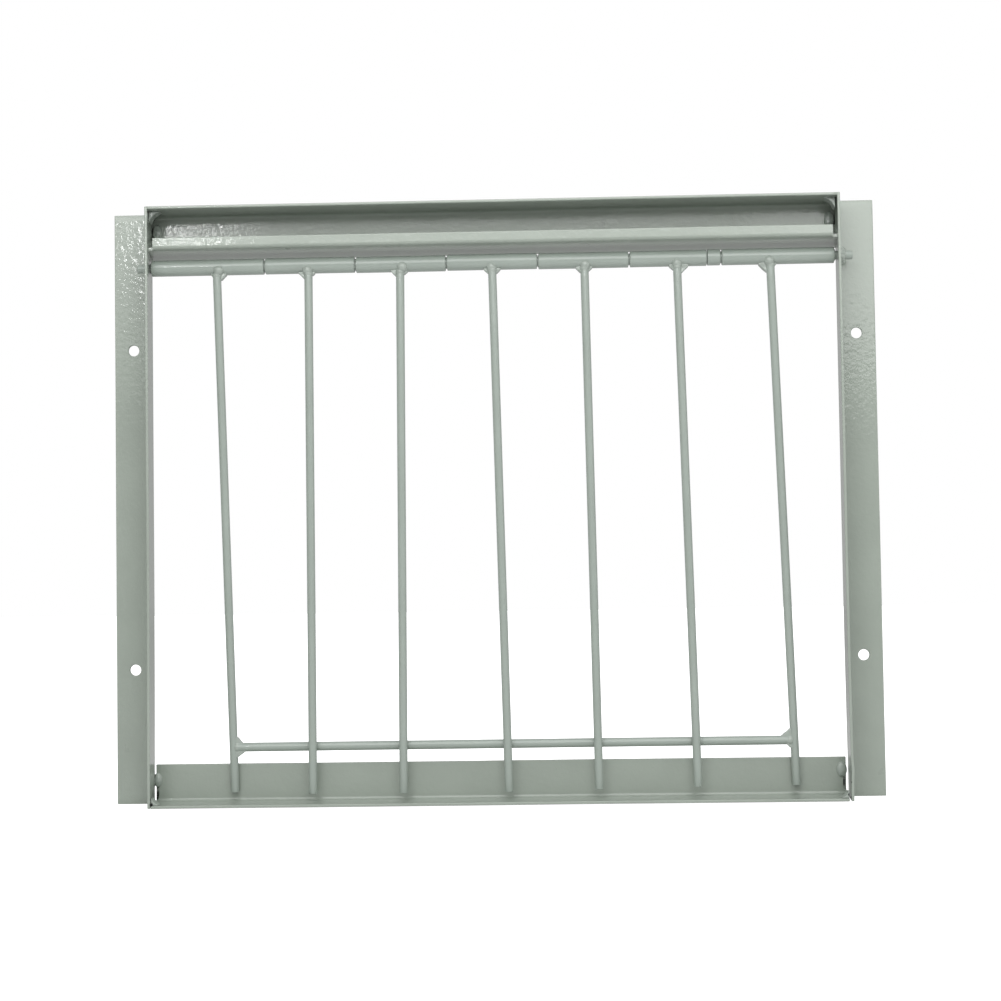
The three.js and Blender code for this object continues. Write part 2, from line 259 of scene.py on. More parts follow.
def circle(centre, along, radius, sides=ROUND_SIDES):
    """Points of a circle around an axis."""
    turn = along.to_track_quat("Z", "Y")
    return [
        centre + turn @ Vector((math.cos(a) * radius, math.sin(a) * radius, 0))
        for a in (2 * math.pi * i / sides for i in range(sides))
    ]


def turned(profile, start, along, sides=ROUND_SIDES):
    """Loft of circles from a profile of (distance, radius) pairs along an axis."""
    along = along.normalized()
    return loft([circle(start + along * d, along, r, sides) for d, r in profile])


# ---- paint -------------------------------------------------------------------------------------


def linear(red, green, blue):
    """Linear colour from 0 to 255 sRGB values."""
    def channel(value):
        c = value / 255
        return c / 12.92 if c <= 0.04045 else ((c + 0.055) / 1.055) ** 2.4

    return (channel(red), channel(green), channel(blue), 1.0)


def node_at(tree, kind, **values):
    node = tree.nodes.new(kind)
    for key, value in values.items():
        node.inputs[key.replace("_", " ")].default_value = value
    return node


def painted_shade_spots(tree, place, shade_so_far, shade_spots):
    """Adds small oval spots of painted shade, as dark as deep gaps in shadow, each from its centre and
    half sizes.
    """
    for centre, reach in shade_spots:
        offset = tree.nodes.new("ShaderNodeVectorMath")
        offset.operation = "SUBTRACT"
        offset.inputs[1].default_value = centre
        tree.links.new(place, offset.inputs[0])
        scaled = tree.nodes.new("ShaderNodeVectorMath")
        scaled.operation = "DIVIDE"
        scaled.inputs[1].default_value = reach
        tree.links.new(offset.outputs["Vector"], scaled.inputs[0])
        distance = tree.nodes.new("ShaderNodeVectorMath")
        distance.operation = "LENGTH"
        tree.links.new(scaled.outputs["Vector"], distance.inputs[0])
        inside = node_at(tree, "ShaderNodeMapRange", From_Min=1.1, From_Max=0.8)
        tree.links.new(distance.outputs["Value"], inside.inputs["Value"])
        either = tree.nodes.new("ShaderNodeMath")
        either.operation = "MAXIMUM"
        tree.links.new(shade_so_far, either.inputs[0])
        tree.links.new(inside.outputs["Result"], either.inputs[1])
        shade_so_far = either.outputs["Value"]
    return shade_so_far


def grey_green_paint(name, base, roughness, peel_size, peel_depth, blotch=0.04, shade_spots=()):
    """Sprayed gloss paint: slow colour drift, dust specks, an orange-peel skin, and painted shade in tight
    crevices and on the listed dark pits.
    """
    material = bpy.data.materials.new(name)
    material.use_nodes = True
    tree = material.node_tree
    links = tree.links
    shader = tree.nodes["Principled BSDF"]
    shader.inputs["Coat Weight"].default_value = 0.7
    shader.inputs["Coat Roughness"].default_value = 0.05
    shader.inputs["IOR"].default_value = 1.45
    place = tree.nodes.new("ShaderNodeTexCoord").outputs["Object"]

    # slow drift between a thin and a thick coat
    drift = node_at(tree, "ShaderNodeTexNoise", Scale=38.0, Detail=4.0, Roughness=0.55)
    links.new(place, drift.inputs["Vector"])
    coat = tree.nodes.new("ShaderNodeValToRGB")
    coat.color_ramp.elements[0].position = 0.3
    coat.color_ramp.elements[1].position = 0.7
    coat.color_ramp.elements[0].color = [c * (1 - blotch) for c in base[:3]] + [1.0]
    coat.color_ramp.elements[1].color = [min(1.0, c * (1 + blotch)) for c in base[:3]] + [1.0]
    links.new(drift.outputs["Fac"], coat.inputs["Fac"])

    # dust specks under the paint, about 0.4 mm across
    dust = node_at(tree, "ShaderNodeTexNoise", Scale=1500.0, Detail=1.0, Roughness=0.5)
    links.new(place, dust.inputs["Vector"])
    speck = tree.nodes.new("ShaderNodeMapRange")
    speck.inputs["From Min"].default_value = 0.72
    speck.inputs["From Max"].default_value = 0.80
    speck.inputs["To Max"].default_value = 0.35
    links.new(dust.outputs["Fac"], speck.inputs["Value"])
    dusty = [c * 0.5 for c in base[:3]] + [1.0]
    specked = mix_to(tree, coat.outputs["Color"], dusty, speck.outputs["Result"])

    # painted shade: tight crevices, found by ambient occlusion, are darkened to the colour of deep shadow
    occlusion = node_at(tree, "ShaderNodeAmbientOcclusion", Distance=CREVICE_SHADE_REACH)
    occlusion.samples = 12
    crevice_shade = tree.nodes.new("ShaderNodeMapRange")
    crevice_shade.inputs["From Min"].default_value = 0.34
    crevice_shade.inputs["From Max"].default_value = 0.16
    links.new(occlusion.outputs["AO"], crevice_shade.inputs["Value"])
    # painted shade also on the listed pits and slots at the rails' ends
    painted_shade = painted_shade_spots(tree, place, crevice_shade.outputs["Result"], shade_spots)
    coloured = mix_to(tree, specked, CREVICE_SHADE, painted_shade)
    links.new(coloured, shader.inputs["Base Color"])

    # gloss that varies a little with the coat
    gloss = tree.nodes.new("ShaderNodeMapRange")
    gloss.inputs["From Min"].default_value = 0.3
    gloss.inputs["From Max"].default_value = 0.7
    gloss.inputs["To Min"].default_value = roughness * 0.85
    gloss.inputs["To Max"].default_value = roughness * 1.2
    links.new(drift.outputs["Fac"], gloss.inputs["Value"])
    links.new(gloss.outputs["Result"], shader.inputs["Roughness"])

    # orange peel
    peel = node_at(tree, "ShaderNodeTexNoise", Scale=1.0 / peel_size, Detail=2.0, Roughness=0.5)
    links.new(place, peel.inputs["Vector"])
    bump = node_at(tree, "ShaderNodeBump", Strength=1.0, Distance=peel_depth)
    links.new(peel.outputs["Fac"], bump.inputs["Height"])
    links.new(bump.outputs["Normal"], shader.inputs["Normal"])
    links.new(bump.outputs["Normal"], shader.inputs["Coat Normal"])
    return material


def mix_to(tree, colour, other, amount):
    """Mixes a colour socket towards a fixed colour."""
    mixed = tree.nodes.new("ShaderNodeMix")
    mixed.data_type = "RGBA"
    mixed.inputs["B"].default_value = other
    tree.links.new(amount, mixed.inputs["Factor"])
    tree.links.new(colour, mixed.inputs["A"])
    return mixed.outputs["Result"]


CREVICE_SHADE = linear(22, 26, 22)  # painted shade: the colour of a deep crevice in shadow
# reach of the ambient occlusion that decides where the painted crevice shade goes
CREVICE_SHADE_REACH = 1.6 * MM


def frame_shade_spots():
    """Places of the dark pits and slots at the ends of the rails, painted as shade where deep gaps lie in
    shadow, as a centre and half sizes (mm).
    """
    places = [
        ((LEFT_HIGH.x - 1.2 * MM, PLATE_FRONT_Y, TOP_HIGH.z - 2.0 * MM), (0.7, 2.0, 0.9)),
        ((LEFT_HIGH.x - 1.3 * MM, PLATE_FRONT_Y, TOP_HIGH.z - 10.5 * MM), (0.7, 2.0, 0.9)),
        ((RIGHT_LOW.x + 2.1 * MM, PLATE_FRONT_Y, TOP_HIGH.z - 2.4 * MM), (0.7, 2.0, 0.9)),
        ((RIGHT_LOW.x + 2.0 * MM, PLATE_FRONT_Y, TOP_HIGH.z - 9.7 * MM), (0.7, 2.0, 0.9)),
        ((LEFT_HIGH.x + 0.7 * MM, FRONT_Y, TOP_HIGH.z - 1.8 * MM), (0.7, 2.0, 0.7)),
        ((LEFT_HIGH.x + 0.2 * MM, FRONT_Y, BOTTOM_LOW.z + 1.7 * MM), (0.7, 2.0, 0.8)),
        ((RIGHT_LOW.x, FRONT_Y, BOTTOM_LOW.z + 2.7 * MM), (0.6, 2.0, 0.8)),
        ((LEFT_HIGH.x - 1.0 * MM, PLATE_FRONT_Y, BOTTOM_LOW.z + 3.9 * MM), (0.6, 1.5, 2.4)),
        ((RIGHT_LOW.x + 0.7 * MM, PLATE_FRONT_Y, BOTTOM_LOW.z + 6.1 * MM), (0.6, 1.5, 2.4)),
        ((RIGHT_LOW.x + 0.8 * MM, FRONT_Y, BOTTOM_LOW.z + 8.0 * MM), (0.4, 2.0, 0.6)),
    ]
    return [(centre, [value * MM for value in reach]) for centre, reach in places]


# the frame and weld paints carry painted shade on the pits and slots at the rails' ends
FRAME_PAINT = grey_green_paint(
    "frame_paint", linear(157, 166, 156), 0.32, 2.2 * MM, 0.11 * MM, shade_spots=frame_shade_spots())
BAR_PAINT = grey_green_paint("bar_paint", linear(158, 168, 160), 0.34, 1.4 * MM, 0.03 * MM)
WELD_PAINT = grey_green_paint(
    "weld_paint", linear(162, 171, 163), 0.28, 0.9 * MM, 0.04 * MM, shade_spots=frame_shade_spots())


# ---- frame -------------------------------------------------------------------------------------


def left_of(direction):
    return Vector((-direction.y, direction.x))


def turned_2d(vector, angle):
    return Vector((
        vector.x * math.cos(angle) - vector.y * math.sin(angle),
        vector.x * math.sin(angle) + vector.y * math.cos(angle),
    ))


def folded_sheet(corners, tight=()):
    """Outline of a folded sheet whose middle line runs straight from corner to corner.

    The corners numbered in tight have the smaller bend.
    """
    headings = [(b - a).normalized() for a, b in zip(corners, corners[1:])]
    middle = [(corners[0], left_of(headings[0]))]
    middle.append((corners[0] + headings[0] * 2 * FLAT_HOLD, left_of(headings[0])))
    for number, (corner, before, after) in enumerate(zip(corners[1:-1], headings, headings[1:]), 1):
        turn = math.atan2(before.x * after.y - before.y * after.x, before.dot(after))
        inside = TIGHT_BEND_RADIUS if number in tight else BEND_RADIUS
        radius = math.copysign(inside + SHEET / 2, turn)
        centre = corner - before * radius * math.tan(turn / 2) + left_of(before) * radius
        middle.append((centre - left_of(before) * radius - before * FLAT_HOLD, left_of(before)))
        for step in range(BEND_STEPS + 1):
            normal = turned_2d(left_of(before), turn * step / BEND_STEPS)
            middle.append((centre - normal * radius, normal))
        middle.append((centre - left_of(after) * radius + after * FLAT_HOLD, left_of(after)))
    middle.append((corners[-1] - headings[-1] * 2 * FLAT_HOLD, left_of(headings[-1])))
    middle.append((corners[-1], left_of(headings[-1])))

    # the two free edges are rounded by the paint
    def edge(point, normal, outward):
        half = SHEET / 2 - SHEARED_EDGE
        arc = []
        for side, angles in ((1, (90, 60, 30, 0)), (-1, (0, 30, 60, 90))):
            for angle in angles:
                a = math.radians(angle)
                arc.append(
                    point
                    - outward * SHEARED_EDGE * (1 - math.cos(a))
                    + normal * side * (half + SHEARED_EDGE * math.sin(a))
                )
        return arc

    end = edge(*middle[-1], headings[-1])
    start = edge(*middle[0], -headings[0])[::-1]
    one_face = [point + normal * SHEET / 2 for point, normal in middle[1:-1]]
    other_face = [point - normal * SHEET / 2 for point, normal in middle[1:-1]]
    return one_face + end + other_face[::-1] + start


def stations(low, high, spacing):
    """Even steps from low to high, with close ones at the ends for the rounded cut edge."""
    inner_low = low + SHEARED_EDGE
    inner_high = high - SHEARED_EDGE
    count = round((inner_high - inner_low) / spacing)
    steps = [inner_low + (inner_high - inner_low) * i / count for i in range(count + 1)]
    return [low, low + SHEARED_EDGE * 0.3] + steps + [high - SHEARED_EDGE * 0.3, high]


def end_shrink(distance):
    """How far the outline draws in near a cut end, as a rounded edge does."""
    gap = max(0.0, SHEARED_EDGE - distance)
    return SHEARED_EDGE - math.sqrt(max(0.0, SHEARED_EDGE**2 - gap**2))


def drawn_in(outline, amount):
    """The outline with every point moved inward."""
    if amount <= 0:
        return outline
    count = len(outline)
    result = []
    for i, point in enumerate(outline):
        heading = (outline[(i + 1) % count] - outline[i - 1]).normalized()
        result.append(point - Vector((heading.y, -heading.x)) * amount)
    return result


def wander(seed, along, size=HAND_BENT):
    """A slow wave that stands for hand bending and welding heat."""
    return size * noise.noise(Vector((along * 14, seed * 7.3, 0.5)))


def counter_clockwise(outline):
    area = sum(a.x * b.y - b.x * a.y for a, b in zip(outline, outline[1:] + outline[:1]))
    return outline if area > 0 else outline[::-1]


def screw_hole(x, z, radius):
    """A cutter for a hole through a flange, with a slight rounded rim."""
    beyond = 2 * MM
    profile = [
        (-beyond, radius + beyond + HOLE_RIM),
        (0.0, radius + HOLE_RIM),
        (HOLE_RIM, radius),
        (SHEET - HOLE_RIM, radius),
        (SHEET, radius + HOLE_RIM),
        (SHEET + beyond, radius + beyond + HOLE_RIM),
    ]
    return turned(profile, Vector((x, PLATE_FRONT_Y, z)), Vector((0, 1, 0)), 40)


def hole_places(node, side):
    """Middle and radius of each screw hole, found from the edge of the hole in the CAD flange."""
    outer = LEFT_LOW.x if side < 0 else RIGHT_HIGH.x
    nearest, farthest = HOLE_FROM_EDGE
    found = []
    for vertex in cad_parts[node].data.vertices:
        x, z = vertex.co.x, vertex.co.z
        away_from_edge = nearest < abs(x - outer) < farthest
        if away_from_edge and HOLE_FROM_END < z < TOP_HIGH.z - HOLE_FROM_END:
            found.append((x, z))
    low = [p for p in found if p[1] < ROD_CENTRE.z / 2]
    high = [p for p in found if p[1] >= ROD_CENTRE.z / 2]
    middles = []
    for group in (low, high):
        xs = [p[0] for p in group]
        zs = [p[1] for p in group]
        middles.append(((min(xs) + max(xs)) / 2, (min(zs) + max(zs)) / 2, (max(zs) - min(zs)) / 2))
    return middles


def knock(side, z):
    """A small knock in the front edge of the right side rail, near its foot."""
    if side < 0:
        return 0.0
    return KNOCK_DEPTH * math.exp(-((z - KNOCK_HEIGHT) / KNOCK_SIZE) ** 2)


def foot_spread(side, z):
    """How much further out a side rail's leg stands near its foot."""
    return side * FOOT_SPREAD * math.exp(-(z / (45 * MM)) ** 2)


def side_rail(node, side):
    low, high = (LEFT_LOW, LEFT_HIGH) if side < 0 else (RIGHT_LOW, RIGHT_HIGH)
    inner = high.x if side < 0 else low.x
    outer = low.x if side < 0 else high.x
    leg_x = abs(inner) + SHEET / 2
    outline = counter_clockwise(folded_sheet([
        Vector((side * leg_x, FRONT_Y)),
        Vector((side * (leg_x + LEG_SPLAY), BACK_Y - SHEET / 2)),
        Vector((outer, BACK_Y - SHEET / 2)),
    ]))
    rings = []
    for z in stations(low.z, high.z, RAIL_STATION):
        inset = end_shrink(min(z - low.z, high.z - z))
        ring = []
        for point in drawn_in(outline, inset):
            forward = (BACK_Y - point.y) / (BACK_Y - FRONT_Y)
            outward = (abs(point.x) - leg_x) / (abs(outer) - leg_x)
            x = point.x + (wander(side, z) + knock(side, z)) * forward
            front_shift, back_shift = LEG_OUTWARD[side]
            x += side * (front_shift * forward + back_shift * (1 - forward)) * (1 - outward)
            x += foot_spread(side, z) * (1 - outward)
            y = point.y - abs(wander(side + 3, z, 0.25 * MM)) * outward**2
            ring.append(Vector((x, y, z)))
        rings.append(ring)
    cutters = [screw_hole(x, z, r) for x, z, r in hole_places(node, side)]
    beyond = 6 * MM
    rod_hole = turned(
        [(-beyond, ROD_HOLE_RADIUS), (beyond, ROD_HOLE_RADIUS)],
        Vector((side * (leg_x + LEG_SPLAY / 2), ROD_CENTRE.y, ROD_CENTRE.z)), Vector((1, 0, 0)), 32)
    bm = drilled(loft(rings), cutters + [rod_hole])
    return new_piece(node + "_painted", bm, "frame", FRAME_PAINT, node)


def leg_inner_x(y):
    """Inner face of a side rail's leg at depth y."""
    return RIGHT_LOW.x + LEG_SPLAY * (y - FRONT_Y) / (BACK_Y - FRONT_Y)


def block(low, high):
    """A box, for cutting with."""
    bm = bmesh.new()
    centre = (Vector(low) + Vector(high)) / 2
    size = Vector(high) - Vector(low)
    bmesh.ops.create_cube(bm, size=1, matrix=Matrix.Translation(centre) @ Matrix.Diagonal((*size, 1)))
    return bm


def cross_rail(node, outline, gap, seed, cutters):
    """A rail between the side rails, whose ends follow the splay of their legs."""
    outline = counter_clockwise(outline)
    half_length = leg_inner_x(BACK_Y) - gap
    rings = []
    for x in stations(-half_length, half_length, RAIL_STATION):
        inset = end_shrink(half_length - abs(x))
        ring = []
        for point in drawn_in(outline, inset):
            shorter = (leg_inner_x(point.x) - gap) / half_length
            y = point.x + wander(seed, x)
            z = point.y + wander(seed + 2, x, 0.1 * MM)
            ring.append(Vector((x * shorter, y, z)))
        rings.append(ring)
    bm = drilled(loft(rings), cutters)
    return new_piece(node + "_painted", bm, "frame", FRAME_PAINT, node)


def top_rail():
    """A channel open to the front, with a lip on its lower leg. The lip stops short of the side rails."""
    web_y = BACK_Y - SHEET / 2
    lip_y = FRONT_Y + SHEET / 2
    upper_z = TOP_HIGH.z - SHEET / 2
    lower_z = TOP_HIGH.z - TOP_RAIL_HEIGHT + SHEET / 2
    lip_top_z = lower_z - SHEET / 2 + LOWER_LEG_RISE + TOP_LIP_HEIGHT
    outline = folded_sheet([
        Vector((FRONT_Y, upper_z)),
        Vector((web_y, upper_z)),
        Vector((web_y, lower_z)),
        Vector((lip_y, lower_z + LOWER_LEG_RISE)),
        Vector((lip_y, lip_top_z)),
    ], tight=(2, 3))
    beyond = 10 * MM
    cut_backs = []
    for side, end in LIP_END.items():
        near, far = sorted((end, end + side * beyond))
        front_corner = (near, FRONT_Y - beyond, lower_z - beyond)
        back_corner = (far, FRONT_Y + LIP_CUT_DEPTH, lip_top_z + 0.5 * MM)
        cut_backs.append(block(front_corner, back_corner))
    return cross_rail("top_rail", outline, TOP_RAIL_END_GAP, 11, cut_backs)


def bottom_rail():
    """An angle whose upright leg is the plate that stops the bars."""
    web_y = BACK_Y - SHEET / 2
    outline = folded_sheet([
        Vector((FRONT_Y, BOTTOM_LOW.z + SHEET / 2)),
        Vector((web_y, BOTTOM_LOW.z + SHEET / 2)),
        Vector((web_y, BOTTOM_HIGH.z)),
    ])
    # a groove beside each end of the plate, under the weld, darkened further by painted shade in the paint
    end = leg_inner_x(PLATE_FRONT_Y) - PLATE_END_GAP
    grooves = []
    for side in (-1, 1):
        near, far = sorted((side * (end - 0.2 * MM), side * (end - 1.3 * MM)))
        grooves.append(block((near, FRONT_Y, 3.2 * MM), (far, PLATE_FRONT_Y + 0.9 * MM, 8.4 * MM)))
    return cross_rail("bottom_rail", outline, PLATE_END_GAP, 17, grooves)


# ---- welds -------------------------------------------------------------------------------------


def ellipsoid(bm, centre, radii):
    matrix = Matrix.Translation(centre) @ Matrix.Diagonal((*radii, 1))
    bmesh.ops.create_icosphere(bm, subdivisions=3, radius=1, matrix=matrix)


def slab(bm, outline, front, back):
    """Adds a plate of weld metal from its outline (x, z) and its front and back."""
    near = [bm.verts.new((x, front, z)) for x, z in outline]
    far = [bm.verts.new((x, back, z)) for x, z in outline]
    bm.faces.new(near)
    bm.faces.new(far[::-1])
    for i in range(len(near)):
        j = (i + 1) % len(near)
        bm.faces.new((near[j], near[i], far[i], far[j]))


def weld(name, bm, node, body, seed, lump=WELD_LUMP):
    """One weld: lumps of metal melted into each other, with an uneven skin."""
    bmesh.ops.recalc_face_normals(bm, faces=bm.faces)
    blob = scratch_object(bm)
    melt = blob.modifiers.new("melt", "REMESH")
    melt.mode = "VOXEL"
    melt.voxel_size = WELD_VOXEL
    calm = blob.modifiers.new("calm", "SMOOTH")
    calm.factor = 0.5
    calm.iterations = 6
    skin = baked(blob)
    skin.normal_update()
    for vertex in skin.verts:
        ripple = noise.noise(vertex.co * 420 + Vector((seed, 0, 0)))
        vertex.co += vertex.normal * ripple * lump
    return new_piece(name, skin, body, WELD_PAINT, node, 80)


def bar_weld(number):
    """The drop in front of the joint between a bar and its tube, and the flare under the tube."""
    sideways, below, left, right = (value * MM for value in BEADS[number])
    top = bar_axis(number)[0]
    on_tube = math.sqrt(TUBE_RADIUS**2 - below**2)
    bm = bmesh.new()
    drop = Vector((top.x + sideways, ROD_CENTRE.y - on_tube + 0.3 * MM, ROD_CENTRE.z - below))
    ellipsoid(bm, drop, (DROP_RADIUS, 1.7 * MM, DROP_RADIUS))
    neck = bar_point(number, ROD_CENTRE.z - TUBE_RADIUS - 0.4 * MM)
    ellipsoid(bm, neck, (2.0 * MM, 2.0 * MM, 1.9 * MM))
    under = ROD_CENTRE.z - TUBE_RADIUS
    middle_y = top.y + 1.1 * MM
    for side, spread in ((-1, left), (1, right)):
        lowest = under - spread - 0.5 * MM
        widest = top.x + side * (BAR_RADIUS + spread + 0.5 * MM)
        slab(bm, [
            (top.x, under + 1.0 * MM),
            (top.x, lowest),
            (bar_point(number, lowest).x + side * (BAR_RADIUS + 0.1 * MM), lowest),
            (widest, under - 0.2 * MM),
            (widest, under + 0.6 * MM),
        ], middle_y - FLARE_DEPTH / 2, middle_y + FLARE_DEPTH / 2)
    return weld(f"bar_weld_{number}_bead", bm, f"bar_weld_{number}", body_of_bar(number), number)


def crossbar_weld(side):
    """The weld in the corner between a gate bar and the crossbar, larger on one side of it."""
    node = f"crossbar_weld_{side}"
    inward = 1 if side == "left" else -1
    number = GATE_BARS[0] if side == "left" else GATE_BARS[1]
    joint = bar_point(number, CROSSBAR_CENTRE.z - CROSSBAR_LOWER[-inward])
    wall = joint.x + inward * BAR_RADIUS
    bm = bmesh.new()
    ellipsoid(bm, Vector((wall, joint.y - 0.8 * MM, joint.z)), (1.9 * MM, 1.3 * MM, 1.8 * MM))
    for up, reach in CROSSBAR_FILLETS[side].items():
        along, tall = (value * MM for value in reach)
        rim = joint.z + up * CROSSBAR_RADIUS
        inside_bar = wall - inward * 1.2 * MM
        toe = wall + inward * (along + 0.5 * MM)
        tip = rim + up * (tall + 0.4 * MM)
        slab(bm, [
            (inside_bar, joint.z),
            (toe, joint.z),
            (toe, rim - up * 0.1 * MM),
            (wall + inward * 0.15 * MM, tip),
            (inside_bar, tip),
        ], joint.y - 1.3 * MM, joint.y + 1.3 * MM)
    return weld(node + "_bead", bm, node, "outer_gate", 20 + inward)


def corner_weld(level, side):
    """A hollow fillet between a side rail's leg and the flat leg of the top or bottom rail."""
    node = f"corner_weld_{level}_{side}"
    low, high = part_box(node)
    outward = -1 if side == "left" else 1
    inward = -1 if level == "top" else 1
    flat = (high.z if level == "top" else low.z) - inward * FILLET_OVERLAP
    leg = (low.x if side == "left" else high.x) + outward * FILLET_OVERLAP
    along = high.x - low.x
    tall = high.z - low.z
    steps = 6
    hollow = []
    for i in range(steps + 1):
        t = i / steps
        hollow.append((
            leg - outward * (along * (1 - t) ** 2 + FILLET_FULLNESS * along * t * (1 - t)),
            flat + inward * (tall * t**2 + FILLET_FULLNESS * tall * t * (1 - t))))
    bm = bmesh.new()
    slab(bm, [(leg, flat)] + hollow, low.y, high.y)
    return weld(node + "_bead", bm, node, "frame", 30 + outward + 5 * inward, 0.08 * MM)


def edge_weld(level, side):
    """The smooth oval blob that bridges a plate's end and the side rail's leg."""
    node = f"edge_weld_{level}_{side}"
    low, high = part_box(node)
    outward = -1 if side == "left" else 1
    leg = low.x if side == "left" else high.x
    inward, lower, across, tall = (value * MM for value in EDGE_BLOBS[level, side])
    middle = Vector((leg - outward * inward, PLATE_FRONT_Y + 0.1 * MM, (low.z + high.z) / 2 - lower))
    bm = bmesh.new()
    ellipsoid(bm, middle, (across, 1.6 * MM, tall))
    return weld(node + "_bead", bm, node, "frame", 50 + outward)


def rod_weld():
    """The lumpy ring of weld around the rod's end, outside the right side rail."""
    inner_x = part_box("rod_weld")[0].x
    lumps = random.Random(4)
    count = 9
    bm = bmesh.new()
    for i in range(count):
        angle = math.radians(360 / count * i + lumps.uniform(-10, 10))
        around = Vector((0, math.cos(angle), math.sin(angle))) * 2.4 * MM
        size = lumps.uniform(1.1, 1.6) * MM
        ellipsoid(bm, Vector((inner_x + 0.6 * MM, *ROD_CENTRE.yz)) + around, (1.7 * MM, size, size))
    return weld("rod_weld_bead", bm, "rod_weld", "frame", 60, 0.3 * MM)


# ---- rod, tubes and bars -----------------------------------------------------------------------


def cut_round(length, radius, chamfer):
    """Profile of a sawn and slightly rounded round bar."""
    profile = [(0.0, 0.001 * MM), (0.0, radius - chamfer)]
    for step in range(1, 5):
        a = math.radians(90 * step / 5)
        profile.append((chamfer * (1 - math.cos(a)), radius - chamfer + chamfer * math.sin(a)))
    profile.append((chamfer, radius))
    near_end = list(profile)
    steps = max(2, round(length / (6 * MM)))
    for i in range(1, steps):
        profile.append((chamfer + (length - 2 * chamfer) * i / steps, radius))
    far_end = [(length - d, r) for d, r in near_end[::-1]]
    return profile + far_end


def round_bar(name, node, body, start, end, radius, seed):
    """A round bar whose skin wanders a little, as drawn wire does."""
    along = end - start
    length = along.length
    bm = turned(cut_round(length, radius, BAR_CHAMFER), start, along)
    for vertex in bm.verts:
        t = (vertex.co - start).dot(along) / length**2
        vertex.co += Vector((0, 1, 0)) * 0.04 * MM * noise.noise(Vector((t * 6, seed, 0)))
    return new_piece(name, bm, body, BAR_PAINT, node)


def tube_on_rod(node, body, drop):
    """A tube sawn from pipe, hung a little below the rod's middle, with a narrower step at each end."""
    low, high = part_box(node)
    radius = (high.z - low.z) / 2
    bore = TUBE_BORE / 2
    length = high.x - low.x
    end = [(-TUBE_STEP, bore), (-TUBE_STEP, radius - TUBE_STEP_BELOW), (0.0, radius - TUBE_STEP_BELOW)]
    end.append((0.0, radius - TUBE_CHAMFER))
    for step in range(1, 4):
        a = math.radians(90 * step / 4)
        end.append((TUBE_CHAMFER * (1 - math.cos(a)), radius - TUBE_CHAMFER * (1 - math.sin(a))))
    end.append((TUBE_CHAMFER, radius))
    count = max(2, round(length / (4 * MM)))
    skin = [(length * i / count, radius) for i in range(1, count)]
    profile = end + skin + [(length - d, r) for d, r in end[::-1]]
    start = Vector((low.x, ROD_CENTRE.y, ROD_CENTRE.z - drop))
    axis = Vector((1, 0, 0))
    bm = loft([circle(start + axis * d, axis, r) for d, r in profile], closed_ends=False)
    first, last = bm.verts[:][:ROUND_SIDES], bm.verts[:][-ROUND_SIDES:]
    for i in range(ROUND_SIDES):
        j = (i + 1) % ROUND_SIDES
        bm.faces.new((last[i], last[j], first[j], first[i]))
    return new_piece(node + "_painted", bm, body, BAR_PAINT, node)


def hinge_rod():
    start = Vector((ROD_LOW.x, ROD_CENTRE.y, ROD_CENTRE.z))
    end = Vector((ROD_HIGH.x, ROD_CENTRE.y, ROD_CENTRE.z))
    return round_bar("hinge_rod_painted", "hinge_rod", "frame", start, end, ROD_RADIUS, 3)


def crossbar():
    """A round bar, welded on with its left end a little low."""
    left_x = CROSSBAR_LOW.x - CROSSBAR_OVERRUN
    right_x = CROSSBAR_HIGH.x + CROSSBAR_OVERRUN
    start = Vector((left_x, CROSSBAR_CENTRE.y, CROSSBAR_CENTRE.z - CROSSBAR_LOWER[-1]))
    end = Vector((right_x, CROSSBAR_CENTRE.y, CROSSBAR_CENTRE.z - CROSSBAR_LOWER[1]))
    return round_bar("crossbar_painted", "crossbar", "outer_gate", start, end, CROSSBAR_RADIUS, 5)


def drop_bar(number):
    top, foot = bar_axis(number)
    buried_top = top + (top - foot).normalized() * INTO_TUBE
    node = f"drop_bar_{number}"
    return round_bar(node + "_painted", node, body_of_bar(number), foot, buried_top, BAR_RADIUS, number)


side_rail("left_side_rail", -1)
side_rail("right_side_rail", 1)
top_rail()
bottom_rail()
hinge_rod()
rod_weld()
for level in ("top", "bottom"):
    for side in ("left", "right"):
        corner_weld(level, side)
        edge_weld(level, side)
for number in BAR_NUMBERS:
    tube_on_rod(f"hinge_tube_{number}", body_of_bar(number), rng.uniform(-1, 1) * TUBE_SAG)
    drop_bar(number)
    bar_weld(number)
tube_on_rod("spacer_collar", "inner_bar_6", -TUBE_SAG)
crossbar()
crossbar_weld("left")
crossbar_weld("right")


# ---- studio ------------------------------------------------------------------------------------


def white_to_camera(tree, others):
    """Strength 1 for what the camera sees directly, and another strength for all other light."""
    seen = tree.nodes.new("ShaderNodeLightPath")
    strength = tree.nodes.new("ShaderNodeMapRange")
    strength.inputs["To Min"].default_value = others
    strength.inputs["To Max"].default_value = 1.0
    tree.links.new(seen.outputs["Is Camera Ray"], strength.inputs["Value"])
    return strength.outputs["Result"]


def studio_floor():
    """A wide table top, white to the camera, which throws light up at the gate as a pale grey one does."""
    bm = bmesh.new()
    bmesh.ops.create_grid(bm, x_segments=8, y_segments=8, size=6)
    mesh = bpy.data.meshes.new("studio_floor")
    bm.to_mesh(mesh)
    bm.free()
    material = bpy.data.materials.new("studio_white")
    material.use_nodes = True
    tree = material.node_tree
    shader = tree.nodes["Principled BSDF"]
    shader.inputs["Base Color"].default_value = (FLOOR_GREY, FLOOR_GREY, FLOOR_GREY, 1)
    shader.inputs["Roughness"].default_value = 0.9
    shader.inputs["Emission Color"].default_value = (1, 1, 1, 1)
    tree.links.new(white_to_camera(tree, 0.0), shader.inputs["Emission Strength"])
    mesh.materials.append(material)
    floor = bpy.data.objects.new("studio_floor", mesh)
    floor.location.z = -FLOOR_DROP
    bpy.context.scene.collection.objects.link(floor)


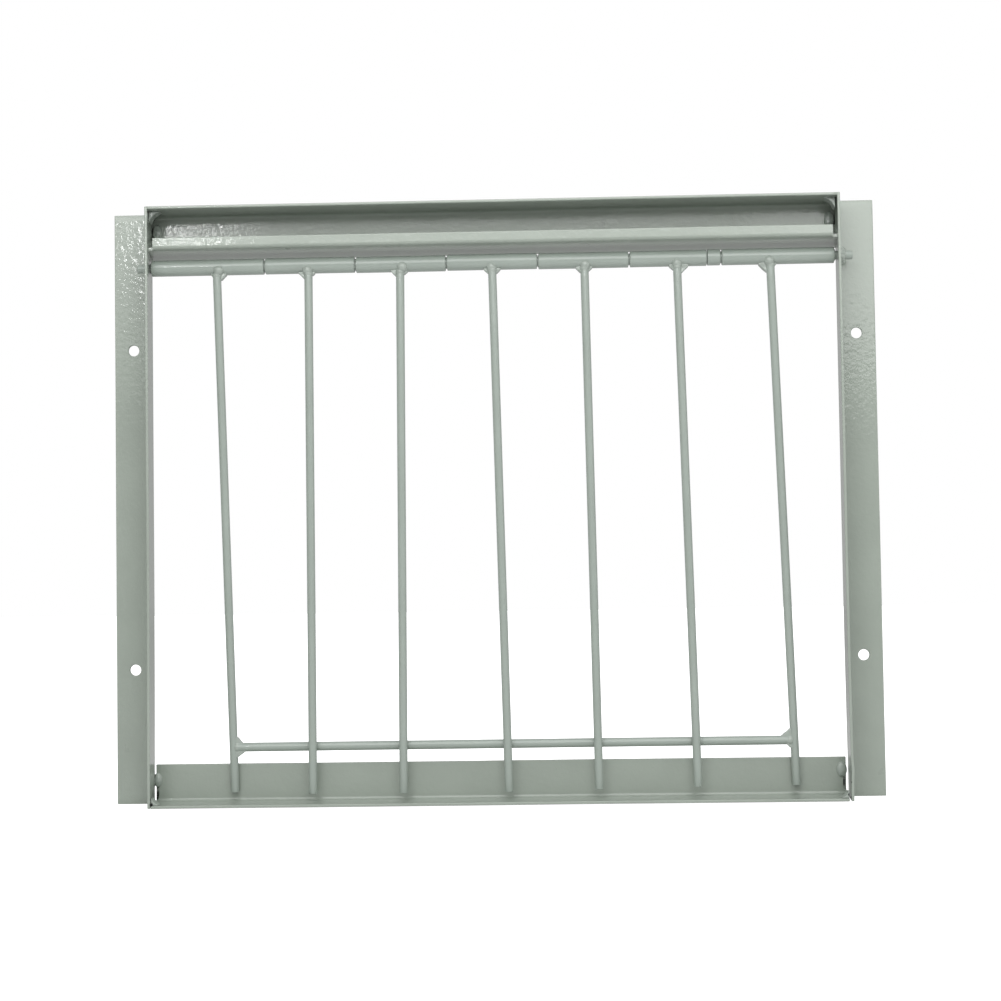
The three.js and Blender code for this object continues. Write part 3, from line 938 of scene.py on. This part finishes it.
def soft_light(name, place, target, size, power):
    data = bpy.data.lights.new(name, "AREA")
    data.shape = "RECTANGLE"
    data.size, data.size_y = size
    data.energy = power
    light = bpy.data.objects.new(name, data)
    light.location = place
    light.rotation_euler = (Vector(target) - Vector(place)).to_track_quat("-Z", "Y").to_euler()
    bpy.context.scene.collection.objects.link(light)


def studio_world():
    """White to the camera, and a dimmer white all round as fill light."""
    world = bpy.data.worlds.new("studio")
    world.use_nodes = True
    tree = world.node_tree
    sky = tree.nodes["Background"]
    sky.inputs["Color"].default_value = (1, 1, 1, 1)
    tree.links.new(white_to_camera(tree, FILL), sky.inputs["Strength"])
    bpy.context.scene.world = world


def photo_camera():
    """The camera stands about 0.8 m in front, a little right of the middle and under mid-height."""
    yaw, pitch, roll = (math.radians(angle) for angle in CAMERA_TURN_DEG)
    forward = Vector((math.sin(yaw) * math.cos(pitch), math.cos(yaw) * math.cos(pitch), math.sin(pitch)))
    level_right = Vector((math.cos(yaw), -math.sin(yaw), 0))
    level_up = level_right.cross(forward)
    right = math.cos(roll) * level_right + math.sin(roll) * level_up
    up = -math.sin(roll) * level_right + math.cos(roll) * level_up
    data = bpy.data.cameras.new("camera")
    data.sensor_width = CAMERA_SENSOR
    data.lens = CAMERA_LENS
    data.clip_start = 0.01
    camera = bpy.data.objects.new("camera", data)
    turn = Matrix((right, up, -forward)).transposed()
    camera.matrix_world = Matrix.Translation(CAMERA_PLACE) @ turn.to_4x4()
    bpy.context.scene.collection.objects.link(camera)
    bpy.context.scene.camera = camera


studio_floor()
studio_world()
middle = (0, 0, 0.15)
soft_light("key", (0, -0.6, 0.55), middle, (0.8, 0.35), 1.8)
soft_light("top", (0.05, -0.33, 0.85), middle, (0.6, 0.3), 1.5)
soft_light("front", (-0.1, -1.2, 0.60), middle, (1.2, 0.5), 2.5)
soft_light("right", (0.75, -0.35, 0.35), middle, (0.4, 0.6), 0.6)
soft_light("glint_left", (-0.295, -0.80, 0.405), (-0.135, 0, 0.250), (0.035, 0.055), 0.15)
soft_light("glint_right", (0.290, -0.80, 0.349), (0.16, 0, 0.222), (0.15, 0.15), 0.15)
photo_camera()
bpy.context.scene.view_settings.view_transform = "Standard"
